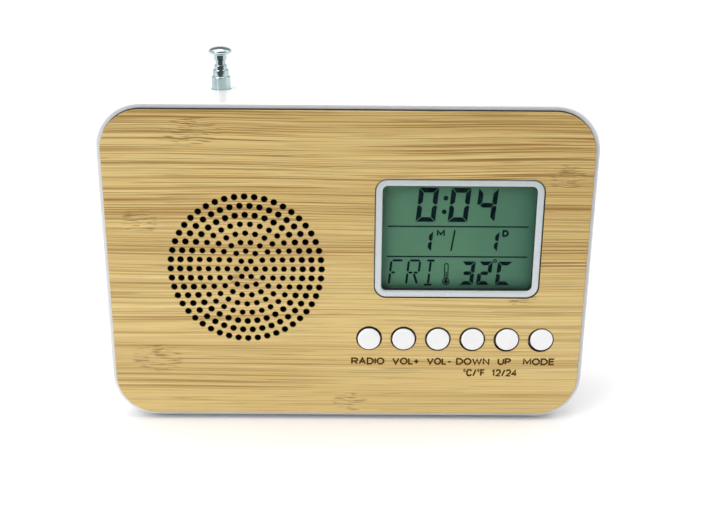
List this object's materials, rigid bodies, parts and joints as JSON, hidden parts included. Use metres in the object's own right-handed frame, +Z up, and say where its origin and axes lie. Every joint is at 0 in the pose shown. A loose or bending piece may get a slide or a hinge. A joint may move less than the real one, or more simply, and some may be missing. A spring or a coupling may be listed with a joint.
{
  "type": "desk clock radio",
  "caption": "Desk clock radio with a rounded bamboo face on a white case, round perforated speaker grille, liquid-crystal display, row of round push buttons and telescopic antenna.",
  "frame": {"origin": "on the surface that the feet stand on, under the middle of the overall width and depth", "axes": "+X to the right as seen from the front, +Y from the face towards the back, +Z up along the antenna"},
  "size_m": [0.15, 0.0368, 0.1159],
  "materials": {
    "bamboo": "laminated bamboo under a thin matt lacquer, with scorched cut edges",
    "white_case": "white moulded ABS, gloss",
    "button_white": "white moulded ABS, gloss",
    "plunger_plastic": "moulded nylon",
    "silver_bezel": "plastic with satin silver paint",
    "clear_lens": "clear acrylic",
    "dark_foam": "black closed-cell foam",
    "dark_cloth": "black woven dust cloth",
    "lcd_glass": "reflective liquid-crystal cell with polarisers",
    "reflector": "foil sheet",
    "black_plastic": "black moulded plastic and resin",
    "strip_rubber": "layered conductive silicone",
    "foot_rubber": "pale silicone rubber",
    "board": "green circuit board",
    "steel": "zinc-plated steel",
    "capacitor_sleeve": "shrunk plastic sleeve",
    "sensor_resin": "resin bead",
    "surround_rubber": "thin rubber",
    "cone_paper": "pressed black paper",
    "coil_copper": "enamelled copper wire",
    "spider_cloth": "resined cloth",
    "ferrite": "sintered ferrite",
    "antenna_chrome": "polished chrome plate",
    "cell_jacket": "plain printed sleeve on a steel can",
    "contact_metal": "nickel-plated spring steel",
    "lead_black": "insulated lead",
    "lead_red": "insulated lead"
  },
  "bodies": {
    "case": {"front_panel": "bamboo", "front_shell": "white_case", "rear_shell": "white_case", "case_screws": "steel", "rubber_feet": "foot_rubber", "display_bezel": "silver_bezel", "display_lens": "clear_lens", "display_gasket": "dark_foam", "lcd_cell": "lcd_glass", "lcd_reflector": "reflector", "lcd_holder": "black_plastic", "contact_strip": "strip_rubber", "main_board": "board", "board_screws": "steel", "push_switches": "black_plastic", "clock_chip": "black_plastic", "radio_chip": "black_plastic", "quartz_crystal": "steel", "capacitors": "capacitor_sleeve", "temperature_sensor": "sensor_resin", "speaker_cloth": "dark_cloth", "speaker_gasket": "dark_foam", "speaker_frame": "steel", "speaker_surround": "surround_rubber", "speaker_spider": "spider_cloth", "top_plate": "steel", "ring_magnet": "ferrite", "pole_yoke": "steel", "terminal_strip": "board", "speaker_screws": "steel", "antenna_tube": "antenna_chrome", "antenna_screw": "steel", "dry_cells": "cell_jacket", "cell_springs": "contact_metal", "bridge_contact": "contact_metal", "end_contacts": "contact_metal", "speaker_leads": "lead_black", "battery_leads": "lead_red", "antenna_lead": "lead_black"},
    "button_radio": {"button_radio": "button_white", "plunger_radio": "plunger_plastic"},
    "button_volume_up": {"button_volume_up": "button_white", "plunger_volume_up": "plunger_plastic"},
    "button_volume_down": {"button_volume_down": "button_white", "plunger_volume_down": "plunger_plastic"},
    "button_down": {"button_down": "button_white", "plunger_down": "plunger_plastic"},
    "button_up": {"button_up": "button_white", "plunger_up": "plunger_plastic"},
    "button_mode": {"button_mode": "button_white", "plunger_mode": "plunger_plastic"},
    "antenna_middle": {"antenna_middle": "antenna_chrome"},
    "antenna_upper": {"antenna_upper": "antenna_chrome"},
    "antenna_rod": {"antenna_rod": "antenna_chrome", "antenna_knob": "antenna_chrome"},
    "battery_door": {"battery_door": "white_case", "door_latch": "white_case"},
    "speaker_cone": {"speaker_cone": "cone_paper", "dust_cap": "cone_paper", "voice_coil": "coil_copper"}
  },
  "joints": [
    {"name": "button_radio_push", "type": "slide", "parent": "case", "child": "button_radio", "axis": [0, 1, 0], "range_m": [0, 0.0005], "stiffness_N_per_m": 600},
    {"name": "button_volume_up_push", "type": "slide", "parent": "case", "child": "button_volume_up", "axis": [0, 1, 0], "range_m": [0, 0.0005], "stiffness_N_per_m": 600},
    {"name": "button_volume_down_push", "type": "slide", "parent": "case", "child": "button_volume_down", "axis": [0, 1, 0], "range_m": [0, 0.0005], "stiffness_N_per_m": 600},
    {"name": "button_down_push", "type": "slide", "parent": "case", "child": "button_down", "axis": [0, 1, 0], "range_m": [0, 0.0005], "stiffness_N_per_m": 600},
    {"name": "button_up_push", "type": "slide", "parent": "case", "child": "button_up", "axis": [0, 1, 0], "range_m": [0, 0.0005], "stiffness_N_per_m": 600},
    {"name": "button_mode_push", "type": "slide", "parent": "case", "child": "button_mode", "axis": [0, 1, 0], "range_m": [0, 0.0005], "stiffness_N_per_m": 600},
    {"name": "antenna_middle_slide", "type": "slide", "parent": "case", "child": "antenna_middle", "axis": [0, 0, 1], "range_m": [0, 0.07]},
    {"name": "antenna_upper_slide", "type": "slide", "parent": "antenna_middle", "child": "antenna_upper", "axis": [0, 0, 1], "range_m": [0, 0.07]},
    {"name": "antenna_rod_slide", "type": "slide", "parent": "antenna_upper", "child": "antenna_rod", "axis": [0, 0, 1], "range_m": [0, 0.07]},
    {"name": "battery_door_hinge", "type": "hinge", "parent": "case", "child": "battery_door", "pos_m": [0.024, 0.01845, 0.035], "axis": [-1, 0, 0], "range_deg": [0, 60], "deforming": ["door_latch"]},
    {"name": "speaker_cone_stroke", "type": "slide", "parent": "case", "child": "speaker_cone", "axis": [0, 1, 0], "range_m": [-0.0004, 0.0004], "stiffness_N_per_m": 1500, "deforming": ["speaker_surround", "speaker_spider"]}
  ]
}
